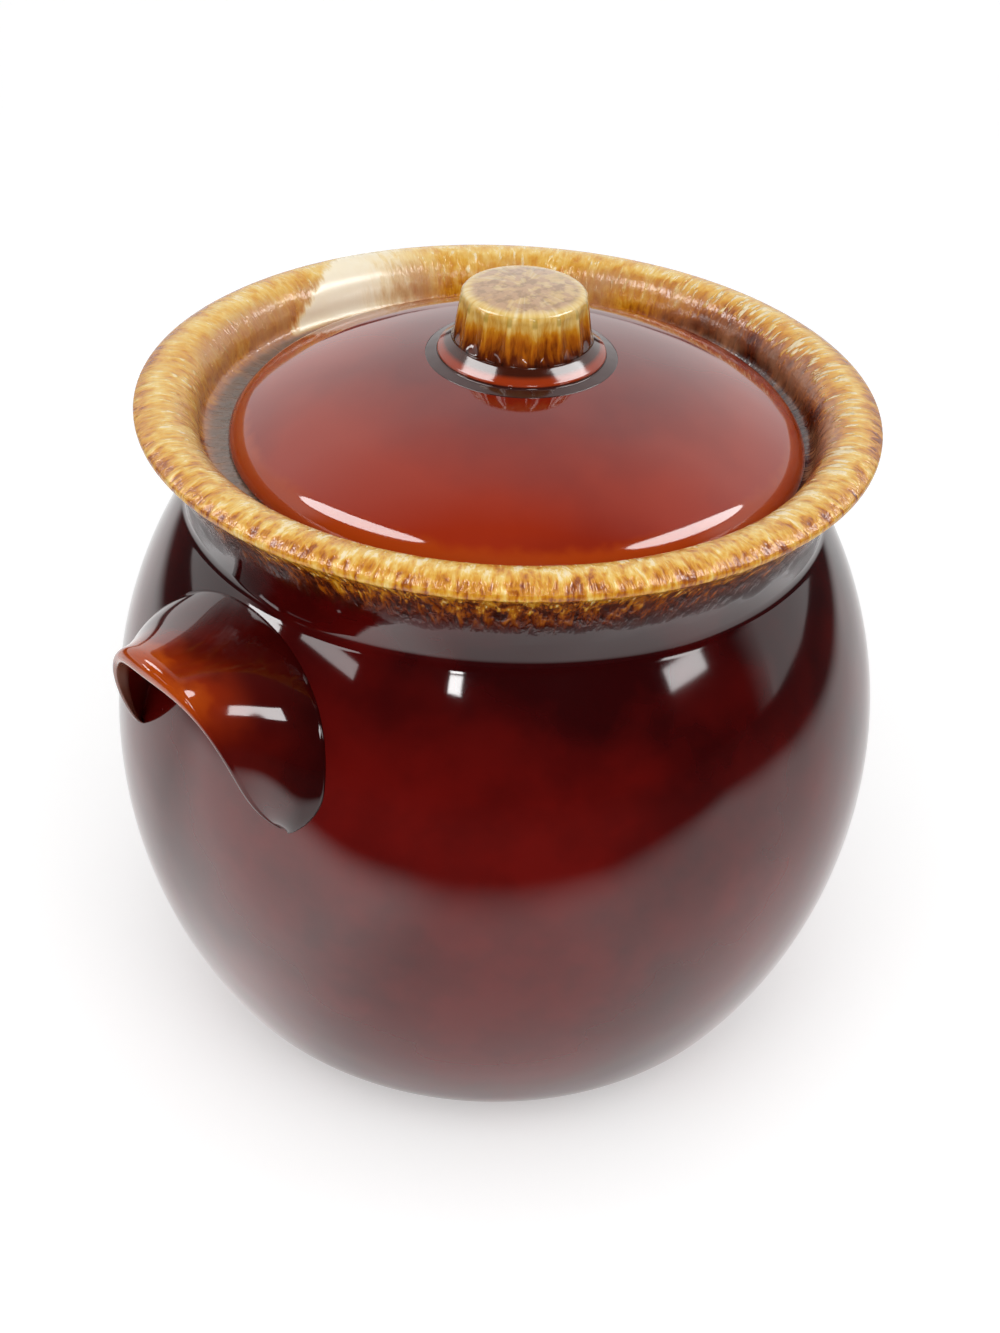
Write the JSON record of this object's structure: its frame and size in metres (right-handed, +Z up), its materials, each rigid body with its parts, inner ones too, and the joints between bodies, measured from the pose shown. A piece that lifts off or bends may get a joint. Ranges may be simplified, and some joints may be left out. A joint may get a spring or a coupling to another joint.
{
  "type": "bean pot",
  "caption": "Round glazed stoneware bean pot with a rolled rim, a pair of lug handles and a loose domed lid with a fluted knob, for slow baking and serving.",
  "frame": {"origin": "middle of the foot ring's resting plane, on the pot's axis", "axes": "+Z up along the pot's axis, +X through the right-hand lug, -Y the side that the lid has slid towards"},
  "size_m": [0.2, 0.178, 0.1856],
  "materials": {
    "dark_glaze": "gloss red-brown glaze",
    "thin_glaze": "gloss red-brown glaze, thin and rust-orange on edges",
    "drip_glaze": "gloss ivory and amber streaked glaze",
    "bare_clay": "bare fired stoneware"
  },
  "bodies": {
    "pot": {"pot_bowl": "dark_glaze", "pot_shoulder": "dark_glaze", "rim_collar": "drip_glaze", "foot_ring": "bare_clay", "lug_handle_left": "thin_glaze", "lug_handle_right": "thin_glaze"},
    "lid": {"lid_dome": "dark_glaze", "lid_locating_ring": "dark_glaze", "lid_knob": "drip_glaze"}
  },
  "joints": [
    {"name": "lid_lift", "type": "slide", "parent": "pot", "child": "lid", "axis": [0, 0, 1], "range_m": [0, 0.1]}
  ]
}
